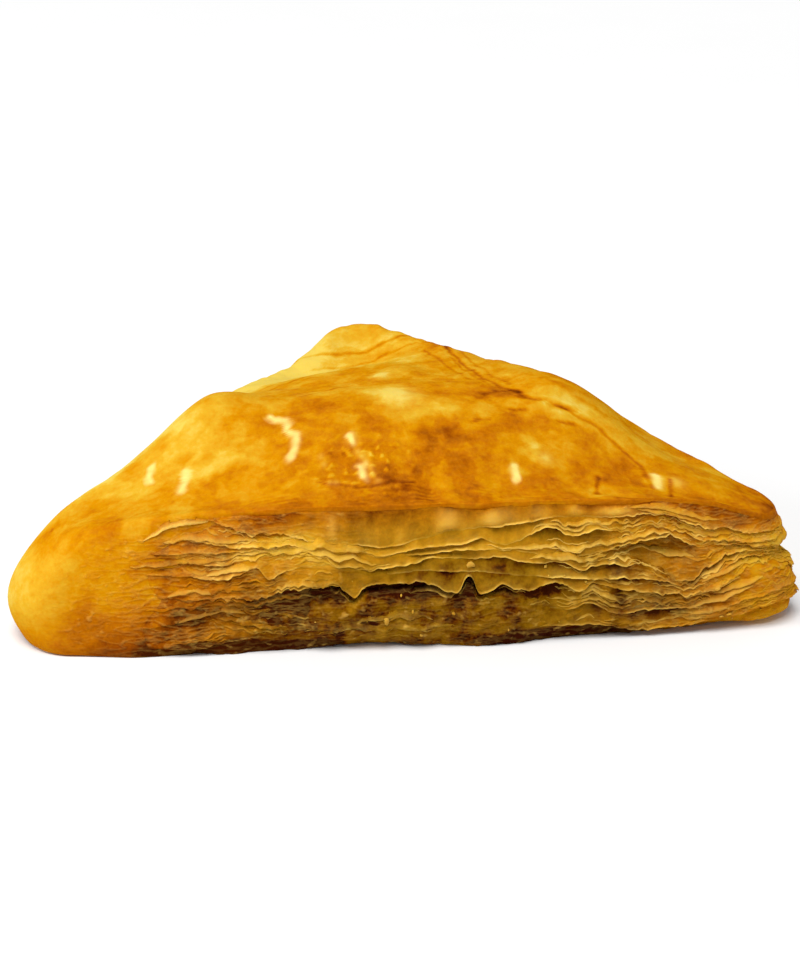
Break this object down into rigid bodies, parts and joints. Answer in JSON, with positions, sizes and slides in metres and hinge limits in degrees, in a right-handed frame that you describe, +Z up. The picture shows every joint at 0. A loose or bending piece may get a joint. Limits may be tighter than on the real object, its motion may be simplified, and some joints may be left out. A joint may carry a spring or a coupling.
{
  "type": "cream bougatsa",
  "caption": "Baked puff pastry triangle, filled and shut, with a domed, glazed golden top and flaky layered sides; a sweet snack that is eaten by hand.",
  "frame": {"origin": "centre of the bounding box on the surface that the pastry lies on", "axes": "+X along the long front edge towards its thin right corner, +Y towards the rear corner, +Z up"},
  "size_m": [0.1882, 0.0984, 0.0521],
  "materials": {
    "crust": "golden baked pastry, glazed on top and flaky at the sides"
  },
  "bodies": {
    "root": {"pastry": "crust"}
  },
  "joints": []
}
